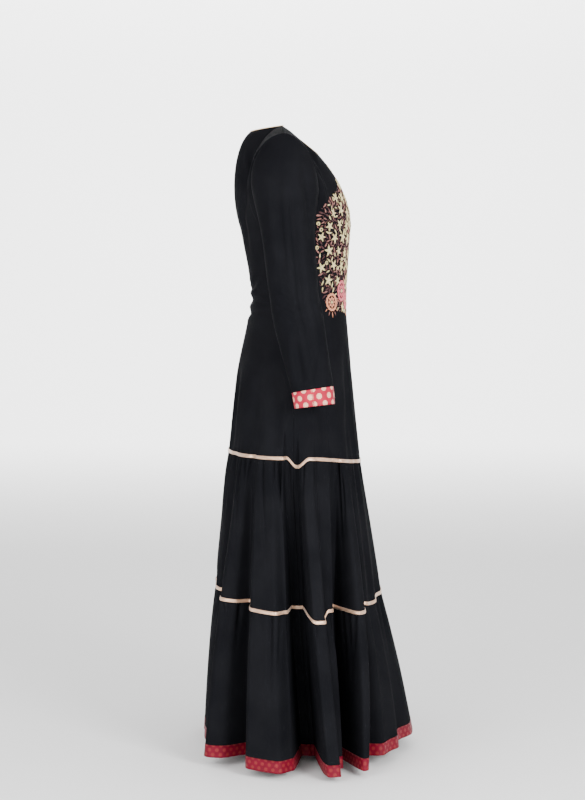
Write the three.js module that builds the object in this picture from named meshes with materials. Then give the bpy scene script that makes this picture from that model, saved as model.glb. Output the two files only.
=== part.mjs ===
// A floor-length abaya, as it stands when worn: a fitted upper piece with set-in
// sleeves, two gathered tiers, satin piping on the seams and brocade cuffs and hem.
// Millimetres. +Z is up, the front faces -Y and the wearer's right hand is at -X.
// The origin is the centre of the neck opening, level with the high shoulder point.
import * as THREE from 'three';

// ---- driving dimensions ----
const WALL = 2;                 // cloth wall
const SEAM_GAP = 0.3;           // between two sewn pieces
const UNDERARM = -240;          // level where the armholes end
const UPPER_SEAM = -765;        // upper piece to upper tier
const LOWER_SEAM = -1081;       // upper tier to lower tier
const BORDER_SEAM = -1398;      // lower tier to the brocade border
const HEM = -1425;

const NECK = { half: 76, side: -10, sideZ: -4, front: -95, frontZ: -68, back: 65, backZ: -15 };
const SHOULDER = { half: 200, y: -16, z: -28 };
const NECK_STEPS = 7;           // grid steps from the centre line to the neck point
const SHOULDER_STEPS = 9;       // grid steps from the neck point to the shoulder tip
const QUARTER_STEPS = NECK_STEPS + SHOULDER_STEPS;
const PRINCESS_STEP = 10;       // grid step that the front side seam follows
const LOWER_QUARTER_STEPS = 22; // grid steps of a quarter of the lower tier

const PIPING = { width: 7, thick: 1.2, clear: 1.9 };
const NECK_PIPING = { width: 6, thick: 2.6 };
const MITRE_LIMIT = 0.7;        // least cosine that a corner's offset is stretched by
const RADIANS = Math.PI / 180;

// Level sections of the body: front, back and side are y, half is the half-width in x.
const SECTIONS = [
  { z: -240,  front: -167, back: 85,  side: -30, half: 170 },
  { z: -280,  front: -164, back: 78,  side: -36, half: 165 },
  { z: -332,  front: -161, back: 68,  side: -42, half: 158 },
  { z: -402,  front: -157, back: 61,  side: -46, half: 158 },
  { z: -470,  front: -162, back: 74,  side: -42, half: 172 },
  { z: -560,  front: -170, back: 93,  side: -38, half: 192 },
  { z: -650,  front: -178, back: 103, side: -36, half: 210 },
  { z: -765,  front: -192, back: 115, side: -36, half: 228 },
  { z: -824,  front: -201, back: 124, side: -36, half: 246 },
  { z: -929,  front: -218, back: 133, side: -40, half: 276 },
  { z: -1034, front: -234, back: 143, side: -45, half: 302 },
  { z: -1081, front: -241, back: 146, side: -47, half: 314 },
  { z: -1175, front: -264, back: 157, side: -53, half: 330 },
  { z: -1280, front: -288, back: 166, side: -60, half: 344 },
  { z: -1425, front: -316, back: 175, side: -70, half: 358 },
];

// How far the levels of the cloth are lifted at the front, the sides and the back.
const LIFTS = [
  { z: -600,  front: 0,   side: 0,   back: 0 },
  { z: -765,  front: -10, side: 13,  back: 14 },
  { z: -1081, front: 0,   side: -4,  back: 22 },
  { z: -1425, front: 16,  side: -3,  back: 10 },
];

// Lengthwise folds. at, lowerAt, hemAt: degrees from the front centre towards the wearer's
// right, on the ellipse of a level, at the upper seam, the lower seam and the hem. from:
// level where it starts. upper, lower and hem: how deep it goes in at those levels; a ridge
// is negative. wide: degrees from its middle to its edge. flat: share of that at full depth.
const FOLDS = [
  { at: 12,  lowerAt: 18,  hemAt: 24,  from: -790, upper: 0,  lower: 8,   hem: 22,  wide: 8,  flat: 0 },
  { at: 24,  lowerAt: 30,  hemAt: 40,  from: -640, upper: 6,  lower: 8,   hem: 10,  wide: 8,  flat: 0 },
  { at: 34,  lowerAt: 42,  hemAt: 56,  from: -690, upper: 4,  lower: 26,  hem: 52,  wide: 7,  flat: 0.2 },
  { at: 40,  lowerAt: 48,  hemAt: 62,  from: -720, upper: 0,  lower: -38, hem: -48, wide: 8,  flat: 0.4 },
  { at: 52,  lowerAt: 63,  hemAt: 70,  from: -740, upper: 6,  lower: 66,  hem: 116, wide: 8,  flat: 0.5 },
  { at: 78,  lowerAt: 77,  hemAt: 77,  from: -700, upper: -6, lower: -46, hem: -54, wide: 8,  flat: 0.5 },
  { at: 92,  lowerAt: 91,  hemAt: 90,  from: -700, upper: 18, lower: 74,  hem: 144, wide: 8,  flat: 0.75 },
  { at: 114, lowerAt: 111, hemAt: 112, from: -740, upper: -4, lower: -34, hem: -42, wide: 15, flat: 0.5 },
  { at: 126, lowerAt: 127, hemAt: 129, from: -720, upper: 6,  lower: 34,  hem: 58,  wide: 7,  flat: 0.2 },
  { at: 138, lowerAt: 142, hemAt: 143, from: -720, upper: -2, lower: -34, hem: -54, wide: 10, flat: 0 },
  { at: 151, lowerAt: 152, hemAt: 154, from: -720, upper: 3,  lower: 28,  hem: 52,  wide: 7,  flat: 0.2 },
  { at: 163, lowerAt: 163, hemAt: 164, from: -740, upper: 0,  lower: -4,  hem: -2,  wide: 8,  flat: 0 },
  { at: 177, lowerAt: 176, hemAt: 175, from: -900, upper: 0,  lower: 6,   hem: 14,  wide: 7,  flat: 0 },
  { at: 197, lowerAt: 196, hemAt: 195, from: -720, upper: 3,  lower: 22,  hem: 42,  wide: 8,  flat: 0 },
  { at: 210, lowerAt: 208, hemAt: 207, from: -720, upper: -2, lower: -24, hem: -34, wide: 9,  flat: 0 },
  { at: 224, lowerAt: 221, hemAt: 220, from: -720, upper: 5,  lower: 42,  hem: 74,  wide: 8,  flat: 0.2 },
  { at: 240, lowerAt: 239, hemAt: 238, from: -720, upper: -4, lower: -34, hem: -46, wide: 11, flat: 0 },
  { at: 257, lowerAt: 256, hemAt: 254, from: -720, upper: 5,  lower: 46,  hem: 88,  wide: 8,  flat: 0.3 },
  { at: 273, lowerAt: 273, hemAt: 272, from: -700, upper: 14, lower: 58,  hem: 112, wide: 9,  flat: 0.3 },
  { at: 286, lowerAt: 286, hemAt: 286, from: -720, upper: -6, lower: -44, hem: -52, wide: 10, flat: 0 },
  { at: 303, lowerAt: 300, hemAt: 297, from: -720, upper: 4,  lower: 48,  hem: 84,  wide: 8,  flat: 0.3 },
  { at: 315, lowerAt: 311, hemAt: 308, from: -720, upper: 0,  lower: -28, hem: -38, wide: 8,  flat: 0 },
  { at: 326, lowerAt: 323, hemAt: 320, from: -720, upper: 4,  lower: 24,  hem: 46,  wide: 8,  flat: 0.2 },
  { at: 345, lowerAt: 342, hemAt: 339, from: -640, upper: 6,  lower: 8,   hem: 20,  wide: 8,  flat: 0 },
];
// The share of a fold's width at each level.
const FOLD_WIDTHS = [
  { z: -640, share: 0.85 },
  { z: -765, share: 0.9 },
  { z: -1081, share: 0.95 },
  { z: -1425, share: 1 },
];
// Where the cloth hangs lower, by how much at the upper seam, the lower seam and the hem.
// It begins to sag this far above the upper seam.
const SAG_RISE = 90;
const SAGS = [
  { at: 22,  wide: 13, flat: 0,   upper: 0,  lower: 9,  hem: 0 },
  { at: 42,  wide: 11, flat: 0,   upper: 0,  lower: 8,  hem: 2 },
  { at: 76,  wide: 11, flat: 0.4, upper: 0,  lower: 16, hem: 4 },
  { at: 87,  wide: 10, flat: 0,   upper: 20, lower: 0,  hem: 0 },
  { at: 278, wide: 10, flat: 0,   upper: 12, lower: 0,  hem: 0 },
  { at: 286, wide: 10, flat: 0.4, upper: 0,  lower: 12, hem: 4 },
  { at: 314, wide: 11, flat: 0,   upper: 0,  lower: 8,  hem: 2 },
];

// How the cloth leaves the top edge (down) and reaches the underarm level (up), for
// the centre line, the neck point, the middle of the shoulder and the shoulder tip.
const FRONT_DRAPE = [
  { step: 0,  down: [0, -33, -40],   up: [0, -9, 60] },
  { step: 7,  down: [6, -46, -20],   up: [-4, -8, 70] },
  { step: 12, down: [0, -62, -14],   up: [-2, -50, 60] },
  { step: 16, down: [-8, -68, -3],   up: [-4, -110, 25] },
];
const BACK_DRAPE = [
  { step: 0,  down: [0, 37, -30],    up: [0, 27, 70] },
  { step: 7,  down: [6, 62, -14],    up: [-2, 40, 74] },
  { step: 12, down: [0, 76, -10],    up: [-2, 84, 58] },
  { step: 16, down: [-6, 88, -4],    up: [-4, 130, 30] },
];
const BODICE_ROWS = [0, 0.14, 0.3, 0.46, 0.62, 0.8, 1];
const UPPER_LEVELS = [-300, -360, -420, -500, -600, -700, UPPER_SEAM];
const TIER_UPPER = { gathered: [14, 56], plain: [-880, -970, -1050] };
const TIER_LOWER = { gathered: [14, 56], plain: [-1210, -1300] };

// A gather dips inward halfway between two grid columns.
const GATHER = { depth: 6, uneven: 0.35, fade: [1, 0.6] };

// Sections of the left sleeve down from the upper arm; the right one is its mirror.
const SLEEVE = [
  { z: -290, x: 240, y: -28, deep: 56.5, wide: 53 },
  { z: -345, x: 243, y: -33, deep: 55.5, wide: 52 },
  { z: -392, x: 246, y: -38, deep: 53.5, wide: 51 },
  { z: -430, x: 249, y: -45, deep: 55.5, wide: 50 },
  { z: -482, x: 253, y: -55, deep: 53,   wide: 48 },
  { z: -535, x: 258, y: -66, deep: 49.5, wide: 45 },
  { z: -593, x: 264, y: -78, deep: 46,   wide: 42 },
  { z: -632, x: 267, y: -83, deep: 44,   wide: 40 },
];
const CUFF_SECTION = SLEEVE.length - 2;
// How the sleeve head leaves the armhole: outer, front, under the arm, back.
const SLEEVE_HEAD = [
  { turn: 0,   out: [52, 0, -30], reach: 62 },
  { turn: 90,  out: [34, 0, -24], reach: 44 },
  { turn: 180, out: [17, 0, -7],  reach: 22 },
  { turn: 270, out: [34, 0, -24], reach: 44 },
  { turn: 360, out: [52, 0, -30], reach: 62 },
];
const SLEEVE_HEAD_ROWS = [0.2, 0.45, 0.72];

// ---- small helpers ----
const vector = (x, y, z) => new THREE.Vector3(x, y, z);
const { lerp, clamp } = THREE.MathUtils;

// Reads a table of rows at a value of one column, on a smooth curve or straight lines.
function readTable(rows, column, value, name, smooth = true) {
  const rising = rows[1][column] > rows[0][column];
  const past = (row) => (rising ? value > row[column] : value < row[column]);
  let i = 0;
  while (i < rows.length - 2 && past(rows[i + 1])) i += 1;
  const [a, b] = [rows[i], rows[i + 1]];
  const t = clamp((value - a[column]) / (b[column] - a[column]), 0, 1);
  if (!smooth) return lerp(a[name], b[name], t);
  const slope = (j) => {
    const [p, q] = [rows[Math.max(j - 1, 0)], rows[Math.min(j + 1, rows.length - 1)]];
    return (q[name] - p[name]) / (q[column] - p[column]) * (b[column] - a[column]);
  };
  const [t2, t3] = [t * t, t * t * t];
  return (2 * t3 - 3 * t2 + 1) * a[name] + (t3 - 2 * t2 + t) * slope(i)
    + (3 * t2 - 2 * t3) * b[name] + (t3 - t2) * slope(i + 1);
}

// The same for a column that holds an [x, y, z].
function readVector(rows, column, value, name) {
  const along = (k) => rows.map((row) => ({ [column]: row[column], part: row[name][k] }));
  return vector(...[0, 1, 2].map((k) => readTable(along(k), column, value, 'part')));
}

const bezier = (a, b, c, d, t) => new THREE.CubicBezierCurve3(a, b, c, d).getPoint(t);

// ---- the body's form ----
// A level's value between those at the upper seam, the lower seam and the hem.
function betweenSeams(z, upper, lower, hem) {
  const share = (top, bottom) => clamp((top - z) / (top - bottom), 0, 1);
  if (z > LOWER_SEAM) return lerp(upper, lower, share(UPPER_SEAM, LOWER_SEAM));
  return lerp(lower, hem, share(LOWER_SEAM, HEM));
}

function foldDepth(fold, z) {
  if (z > fold.from) return 0;
  const levels = [
    { z: fold.from, depth: 0 },
    { z: UPPER_SEAM, depth: fold.upper },
    { z: LOWER_SEAM, depth: fold.lower },
    { z: HEM, depth: fold.hem },
  ];
  const below = levels.filter((level, i) => i === 0 || level.z < fold.from);
  return readTable(below, 'z', z, 'depth', false);
}

// How much of a fold reaches a place that is near widths from its middle.
function foldShare(near, flat) {
  if (near >= 1) return 0;
  return Math.cos(Math.max(near - flat, 0) / (1 - flat) * Math.PI / 2) ** 2;
}

const turnsApart = (a, b) => Math.min(Math.abs(a - b), 360 - Math.abs(a - b));

// How far the folds have turned a column of the cloth, in degrees.
function foldDrift(at, z) {
  const ring = FOLDS.map((fold) => ({
    at: fold.at,
    drift: betweenSeams(z, 0, fold.lowerAt - fold.at, fold.hemAt - fold.at),
  }));
  ring.push({ at: ring[0].at + 360, drift: ring[0].drift });
  return readTable(ring, 'at', at < ring[0].at ? at + 360 : at, 'drift', false);
}

function sagOf(turn, z) {
  const fade = clamp((UPPER_SEAM + SAG_RISE - z) / SAG_RISE, 0, 1);
  let sag = 0;
  for (const { at, wide, flat, upper, lower, hem } of SAGS) {
    sag += fade * betweenSeams(z, upper, lower, hem) * foldShare(turnsApart(turn, at) / wide, flat);
  }
  return sag;
}

const endLift = (angle, z) => readTable(LIFTS, 'z', z, Math.cos(angle) > 0 ? 'front' : 'back');

// A point of the body below the underarms. at: degrees round from the front centre.
function bodyPoint(at, z) {
  const turn = ((at % 360) + 360) % 360;
  const read = (name) => readTable(SECTIONS, 'z', z, name);
  const angle = (turn + foldDrift(turn, z)) * RADIANS;
  const side = read('side');
  const deep = Math.cos(angle) > 0 ? side - read('front') : read('back') - side;
  const lift = lerp(readTable(LIFTS, 'z', z, 'side'), endLift(angle, z), Math.cos(angle) ** 2);
  const height = z + lift - sagOf(turn, z);
  const point = vector(-read('half') * Math.sin(angle), side - deep * Math.cos(angle), height);
  const inward = vector(-point.x, side - point.y, 0).normalize();
  const width = readTable(FOLD_WIDTHS, 'z', z, 'share', false);
  let dip = 0;
  for (const fold of FOLDS) {
    dip += foldDepth(fold, z) * foldShare(turnsApart(turn, fold.at) / (fold.wide * width), fold.flat);
  }
  return point.addScaledVector(inward, dip);
}

// Angles that cut half of the ring at a level into equal lengths of cloth.
function evenAngles(from, to, steps, z) {
  const samples = 360;
  const angles = Array.from({ length: samples + 1 }, (_, i) => from + (to - from) * i / samples);
  const points = angles.map((at) => bodyPoint(at, z));
  const run = [0];
  for (let i = 1; i <= samples; i += 1) run.push(run[i - 1] + points[i].distanceTo(points[i - 1]));
  const result = [];
  let i = 0;
  for (let k = 0; k <= steps; k += 1) {
    const goal = run[samples] * k / steps;
    while (i < samples - 1 && run[i + 1] < goal) i += 1;
    const t = (goal - run[i]) / (run[i + 1] - run[i]);
    result.push(lerp(angles[i], angles[i + 1], t));
  }
  return result;
}

const quarters = (steps, z) => ({
  front: [...evenAngles(-90, 0, steps, z), ...evenAngles(0, 90, steps, z).slice(1)],
  back: [...evenAngles(90, 180, steps, z), ...evenAngles(180, 270, steps, z).slice(1)],
});
const UPPER_COLUMNS = quarters(QUARTER_STEPS, (UPPER_SEAM + LOWER_SEAM) / 2);
const LOWER_COLUMNS = quarters(LOWER_QUARTER_STEPS, (LOWER_SEAM + HEM) / 2);

// A point of the neckline or shoulder seam. step: grid steps from the centre line,
// negative on the wearer's left. half: 'front' or 'back'.
function topEdge(step, half) {
  const away = Math.abs(step);
  const sign = -Math.sign(step);
  if (away <= NECK_STEPS) {
    const angle = away / NECK_STEPS * Math.PI / 2;
    const [y, z] = [NECK[half] - NECK.side, NECK[`${half}Z`] - NECK.sideZ];
    const [across, along] = [Math.sin(angle), Math.cos(angle)];
    return vector(sign * NECK.half * across, NECK.side + y * along, NECK.sideZ + z * along);
  }
  const t = (away - NECK_STEPS) / SHOULDER_STEPS;
  return vector(
    sign * lerp(NECK.half, SHOULDER.half, t),
    lerp(NECK.side, SHOULDER.y, t),
    lerp(NECK.sideZ, SHOULDER.z, t ** 1.3),
  );
}

// Rows of an upper panel from its top edge to the upper seam.
function upperRows(half) {
  const drape = half === 'front' ? FRONT_DRAPE : BACK_DRAPE;
  const columns = UPPER_COLUMNS[half];
  const steps = columns.map((_, i) => (half === 'front' ? i - QUARTER_STEPS : QUARTER_STEPS - i));
  const handle = (step, name) => {
    const h = readVector(drape, 'step', Math.abs(step), name);
    h.x *= -Math.sign(step);
    return h;
  };
  const bodice = BODICE_ROWS.map((t) => steps.map((step, i) => {
    const top = topEdge(step, half);
    const low = bodyPoint(columns[i], UNDERARM);
    const start = top.clone().add(handle(step, 'down'));
    const end = low.clone().add(handle(step, 'up'));
    return bezier(top, start, end, low, t);
  }));
  return [...bodice, ...UPPER_LEVELS.map((z) => columns.map((at) => bodyPoint(at, z)))];
}

// ---- cloth: a sheet of triangles that is given a wall ----
class Cloth {
  constructor(flip = false) {
    this.points = [];
    this.triangles = [];
    this.flip = flip;
  }

  // Adds a row of points; at says how far along the row each one is.
  row(points, at) {
    return points.map((p, i) => ({ id: this.points.push(p.clone()) - 1, at: at[i] }));
  }

  face(a, b, c) {
    this.triangles.push(this.flip ? [a.id, c.id, b.id] : [a.id, b.id, c.id]);
  }

  // Joins two rows that may have different numbers of points.
  join(upper, lower) {
    let [i, k] = [0, 0];
    while (i < upper.length - 1 || k < lower.length - 1) {
      const lowerNext = k < lower.length - 1
        && (i === upper.length - 1 || lower[k + 1].at <= upper[i + 1].at);
      if (lowerNext) {
        this.face(lower[k], upper[i], lower[k + 1]);
        k += 1;
      } else {
        this.face(upper[i], upper[i + 1], lower[k]);
        i += 1;
      }
    }
  }

  stack(rows) {
    for (let i = 1; i < rows.length; i += 1) this.join(rows[i - 1], rows[i]);
  }
}

const key = (p) => [p.x, p.y, p.z].map((v) => Math.round(v * 100)).join();

function faceNormal(cloth, triangle) {
  const [a, b, c] = triangle.map((id) => cloth.points[id]);
  return b.clone().sub(a).cross(c.clone().sub(a)).normalize();
}

// The outward direction at each place, shared by all pieces that meet there. Its length
// is the mitre that keeps a wall's thickness round a corner.
function outwardDirections(cloths) {
  const places = new Map();
  for (const cloth of cloths) {
    for (const triangle of cloth.triangles) {
      const normal = faceNormal(cloth, triangle);
      triangle.forEach((id, i) => {
        const here = cloth.points[id];
        const to = (k) => cloth.points[triangle[(i + k) % 3]].clone().sub(here);
        const place = places.get(key(here)) ?? { sum: vector(0, 0, 0), faces: [] };
        place.sum.addScaledVector(normal, to(1).angleTo(to(2)));
        place.faces.push(normal);
        places.set(key(here), place);
      });
    }
  }
  for (const place of places.values()) {
    place.sum.normalize();
    const least = Math.min(...place.faces.map((face) => face.dot(place.sum)));
    place.mitre = 1 / Math.max(least, MITRE_LIMIT);
  }
  return places;
}

// Moves each edge point back from the seam by half of the gap.
function edgeShifts(cloth, places) {
  const edges = new Map();
  for (const triangle of cloth.triangles) {
    triangle.forEach((a, i) => edges.set(`${a},${triangle[(i + 1) % 3]}`, triangle));
  }
  const shifts = cloth.points.map(() => []);
  const border = [];
  for (const [name, triangle] of edges) {
    const [a, b] = name.split(',').map(Number);
    if (edges.has(`${b},${a}`)) continue;
    border.push([a, b]);
    const along = cloth.points[b].clone().sub(cloth.points[a]).normalize();
    const inward = faceNormal(cloth, triangle).cross(along);
    for (const id of [a, b]) {
      const out = places.get(key(cloth.points[id])).sum;
      shifts[id].push(inward.clone().addScaledVector(out, -inward.dot(out)).normalize());
    }
  }
  const moved = shifts.map((list) => {
    if (list.length === 0) return vector(0, 0, 0);
    const [a, b] = [list[0], list[list.length - 1]];
    return a.clone().add(b).multiplyScalar(SEAM_GAP / 2 / (1 + Math.max(a.dot(b), -0.6)));
  });
  return { moved, border };
}

function solidGeometry(positions, triangles) {
  const geometry = new THREE.BufferGeometry();
  const numbers = positions.flatMap((p) => [p.x, p.y, p.z]);
  geometry.setAttribute('position', new THREE.Float32BufferAttribute(numbers, 3));
  geometry.setIndex(triangles.flat());
  return geometry;
}

// An order of places that both pieces at a seam agree on, so that the faces of their two
// edges are cut along the same diagonals.
const comesFirst = (p, q) => (Math.abs(p.z - q.z) > 0.01 ? p.z > q.z : p.x + 3 * p.y > q.x + 3 * q.y);

// Gives a sheet its wall: half of it outward and half inward.
function thicken(cloth, places) {
  const { moved, border } = edgeShifts(cloth, places);
  const offset = (sign) => cloth.points.map((p, id) => {
    const { sum, mitre } = places.get(key(p));
    return p.clone().add(moved[id]).addScaledVector(sum, sign * mitre * WALL / 2);
  });
  const [outer, inner] = [offset(1), offset(-1)];
  const n = cloth.points.length;
  const triangles = [];
  for (const [a, b, c] of cloth.triangles) triangles.push([a, b, c], [n + a, n + c, n + b]);
  for (const [a, b] of border) {
    if (comesFirst(cloth.points[a], cloth.points[b])) triangles.push([b, a, n + a], [b, n + a, n + b]);
    else triangles.push([b, a, n + b], [a, n + a, n + b]);
  }
  return solidGeometry([...outer, ...inner], triangles);
}

// ---- the pieces ----
const indices = (list) => list.map((_, i) => i);

function panel(rows, first = 0, last = rows[0].length - 1) {
  const cloth = new Cloth();
  cloth.stack(rows.map((row) => cloth.row(row.slice(first, last + 1), indices(row))));
  return cloth;
}

// Adds a point halfway between each pair of a row, sunk towards the body's axis.
function withGathers(cloth, points, columns, depth) {
  const [sunk, at] = [[points[0]], [columns[0]]];
  for (let i = 1; i < points.length; i += 1) {
    const middle = points[i - 1].clone().lerp(points[i], 0.5);
    const along = points[i].clone().sub(points[i - 1]);
    const inward = vector(along.y, -along.x, 0).normalize();
    const share = 1 + GATHER.uneven * (Math.sin(i * 2.4) - Math.cos(i * 0.9));
    sunk.push(middle.addScaledVector(inward, depth * share), points[i]);
    at.push((columns[i - 1] + columns[i]) / 2, columns[i]);
  }
  return cloth.row(sunk, at);
}

// Half of a tier from its seam down: gathered rows, plain rows and its lower edge, which
// has the columns of the piece below.
function tier(half, top, shape, bottom) {
  const cloth = new Cloth();
  const ring = (columns, z) => columns[half].map((at) => bodyPoint(at, z));
  const plain = (columns, z) => cloth.row(ring(columns, z), columns[half]);
  const gathered = shape.gathered.map((drop, i) => withGathers(
    cloth, ring(top.columns, top.z - drop), top.columns[half], GATHER.depth * GATHER.fade[i],
  ));
  cloth.stack([
    plain(top.columns, top.z),
    ...gathered,
    ...shape.plain.map((z) => plain(top.columns, z)),
    plain(bottom.columns, bottom.z),
  ]);
  return cloth;
}

// A closed ring of the sleeve. turn: 0 outer, 90 front, 180 under the arm, 270 back.
function sleeveRing(index, turns) {
  const at = (i) => vector(SLEEVE[i].x, SLEEVE[i].y, SLEEVE[i].z);
  const next = Math.min(index + 1, SLEEVE.length - 1);
  const axis = at(next).sub(at(Math.max(next - 2, 0))).normalize();
  const outward = vector(1, 0, 0).addScaledVector(axis, -axis.x).normalize();
  const forward = outward.clone().cross(axis).normalize();
  if (forward.y > 0) forward.negate();
  const { deep, wide } = SLEEVE[index];
  return turns.map((turn) => at(index)
    .addScaledVector(outward, wide * Math.cos(turn * RADIANS))
    .addScaledVector(forward, deep * Math.sin(turn * RADIANS)));
}

// Left sleeve and cuff, or their mirrors. The armhole ring runs from the shoulder tip
// down the front and up the back.
function sleeveAndCuff(armhole, mirror) {
  const flipX = (p) => (mirror ? vector(-p.x, p.y, p.z) : p.clone());
  const even = (count) => Array.from({ length: count }, (_, i) => i * 360 / count);
  const turns = even(2 * armhole.length);
  const edge = armhole.map(flipX);
  const arm = sleeveRing(0, turns);
  const centre = ({ x, y, z }) => vector(x, y, z);
  const axis = centre(SLEEVE[1]).sub(centre(SLEEVE[0])).normalize();
  const headRing = (t) => turns.map((turn, i) => {
    const start = edge[Math.floor(i / 2)].clone();
    if (i % 2 === 1) start.lerp(edge[((i + 1) / 2) % edge.length], 0.5);
    const leave = start.clone().add(readVector(SLEEVE_HEAD, 'turn', turn, 'out'));
    const arrive = arm[i].clone().addScaledVector(axis, -readTable(SLEEVE_HEAD, 'turn', turn, 'reach'));
    return bezier(start, leave, arrive, arm[i], t);
  });
  const rings = SLEEVE.map((_, i) => sleeveRing(i, turns));
  const build = (rows) => {
    const cloth = new Cloth(mirror);
    cloth.stack(rows.map((points) => {
      const row = cloth.row(points.map(flipX), even(points.length));
      return [...row, { id: row[0].id, at: 360 }];
    }));
    return cloth;
  };
  return {
    sleeve: build([edge, ...SLEEVE_HEAD_ROWS.map(headRing), ...rings.slice(0, CUFF_SECTION + 1)]),
    cuff: build(rings.slice(CUFF_SECTION)),
  };
}

// A flat band along a closed ring of seam points. from and to are measured down the
// cloth from the seam, low and high outward from the middle of the cloth.
function piping(ring, places, { from, to, low, high }) {
  const count = ring.length;
  const positions = [];
  ring.forEach((point, i) => {
    const { sum, mitre } = places.get(key(point));
    const along = ring[(i + 1) % count].clone().sub(ring[(i + count - 1) % count]).normalize();
    const across = sum.clone().cross(along).normalize();
    for (const [side, lift] of [[from, low], [from, high], [to, high], [to, low]]) {
      positions.push(point.clone().addScaledVector(across, side).addScaledVector(sum, lift * mitre));
    }
  });
  const triangles = [];
  for (let i = 0; i < count; i += 1) {
    for (let k = 0; k < 4; k += 1) {
      const [a, b] = [i * 4 + k, i * 4 + (k + 1) % 4];
      const [c, d] = [((i + 1) % count) * 4 + k, ((i + 1) % count) * 4 + (k + 1) % 4];
      triangles.push([a, c, b], [b, c, d]);
    }
  }
  return solidGeometry(positions, triangles);
}

// ---- assembly ----
const frontRows = upperRows('front');
const backRows = upperRows('back');
const lastColumn = 2 * QUARTER_STEPS;
const underarmRow = BODICE_ROWS.length - 1;

// The armhole on one side, from the shoulder tip down the front and up the back.
function armholeRing(frontColumn, backColumn) {
  const down = frontRows.slice(0, underarmRow + 1).map((row) => row[frontColumn]);
  const up = backRows.slice(1, underarmRow).map((row) => row[backColumn]).reverse();
  return [...down, ...up];
}

const left = sleeveAndCuff(armholeRing(0, lastColumn), false);
const right = sleeveAndCuff(armholeRing(lastColumn, 0), true);
const borderRow = (half, z) => LOWER_COLUMNS[half].map((at) => bodyPoint(at, z));
const borderRows = (half) => [BORDER_SEAM, HEM].map((z) => borderRow(half, z));
const upperSeam = { z: UPPER_SEAM, columns: UPPER_COLUMNS };
const lowerSeam = { z: LOWER_SEAM, columns: LOWER_COLUMNS };
const borderSeam = { z: BORDER_SEAM, columns: LOWER_COLUMNS };

const CLOTHS = {
  front_centre: panel(frontRows, QUARTER_STEPS - PRINCESS_STEP, QUARTER_STEPS + PRINCESS_STEP),
  front_side_left: panel(frontRows, 0, QUARTER_STEPS - PRINCESS_STEP),
  front_side_right: panel(frontRows, QUARTER_STEPS + PRINCESS_STEP, lastColumn),
  back: panel(backRows),
  sleeve_left: left.sleeve,
  sleeve_right: right.sleeve,
  tier_upper_front: tier('front', upperSeam, TIER_UPPER, lowerSeam),
  tier_upper_back: tier('back', upperSeam, TIER_UPPER, lowerSeam),
  tier_lower_front: tier('front', lowerSeam, TIER_LOWER, borderSeam),
  tier_lower_back: tier('back', lowerSeam, TIER_LOWER, borderSeam),
  cuff_left: left.cuff,
  cuff_right: right.cuff,
  hem_front: panel(borderRows('front')),
  hem_back: panel(borderRows('back')),
};
const PLACES = outwardDirections(Object.values(CLOTHS));

const seamRing = ({ columns, z }) => (
  [...columns.front, ...columns.back.slice(1, -1)].map((at) => bodyPoint(at, z))
);
const neckRing = [
  ...frontRows[0].slice(QUARTER_STEPS - NECK_STEPS, QUARTER_STEPS + NECK_STEPS + 1),
  ...backRows[0].slice(QUARTER_STEPS - NECK_STEPS + 1, QUARTER_STEPS + NECK_STEPS),
];
const pipingFoot = WALL / 2 + PIPING.clear;
const onSeam = {
  from: -PIPING.width / 2,
  to: PIPING.width / 2,
  low: pipingFoot,
  high: pipingFoot + PIPING.thick,
};
const onNeckEdge = {
  from: -SEAM_GAP - NECK_PIPING.width,
  to: -SEAM_GAP,
  low: -NECK_PIPING.thick / 2,
  high: NECK_PIPING.thick / 2,
};
const PIPINGS = {
  neck_piping: piping(neckRing, PLACES, onNeckEdge),
  piping_upper: piping(seamRing(upperSeam), PLACES, onSeam),
  piping_lower: piping(seamRing(lowerSeam), PLACES, onSeam),
};

const CREPE = { color: 0x26272c, roughness: 0.72, metalness: 0 };
const BROCADE = { color: 0xb81e38, roughness: 0.5, metalness: 0 };
const SATIN = { color: 0xc9a07a, roughness: 0.35, metalness: 0.1 };
const finish = (name) => (/cuff|hem/.test(name) ? BROCADE : CREPE);

const abaya = new THREE.Group();
function add(name, geometry, look) {
  const mesh = new THREE.Mesh(geometry, new THREE.MeshStandardMaterial(look));
  mesh.name = name;
  abaya.add(mesh);
}
for (const [name, cloth] of Object.entries(CLOTHS)) add(name, thicken(cloth, PLACES), finish(name));
for (const [name, geometry] of Object.entries(PIPINGS)) add(name, geometry, SATIN);

export default abaya;
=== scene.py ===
import bpy
import math
import numpy as np
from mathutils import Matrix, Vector
from mathutils.bvhtree import BVHTree


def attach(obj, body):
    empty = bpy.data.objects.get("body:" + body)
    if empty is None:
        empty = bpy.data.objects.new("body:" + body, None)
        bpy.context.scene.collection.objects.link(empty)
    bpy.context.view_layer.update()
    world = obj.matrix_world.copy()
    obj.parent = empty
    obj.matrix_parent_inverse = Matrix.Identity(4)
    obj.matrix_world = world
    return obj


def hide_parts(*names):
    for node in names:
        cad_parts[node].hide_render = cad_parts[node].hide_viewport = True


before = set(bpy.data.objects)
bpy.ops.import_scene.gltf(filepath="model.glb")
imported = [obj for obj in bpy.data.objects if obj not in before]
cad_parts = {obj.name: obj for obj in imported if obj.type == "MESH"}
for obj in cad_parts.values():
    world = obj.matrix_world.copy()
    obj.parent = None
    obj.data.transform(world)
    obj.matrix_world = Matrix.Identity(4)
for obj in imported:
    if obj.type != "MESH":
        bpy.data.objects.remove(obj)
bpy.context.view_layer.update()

# Sizes are millimetres up to the place where a mesh is made. The front faces -Y and the
# wearer's right hand is at -X.
MM = 0.001

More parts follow.
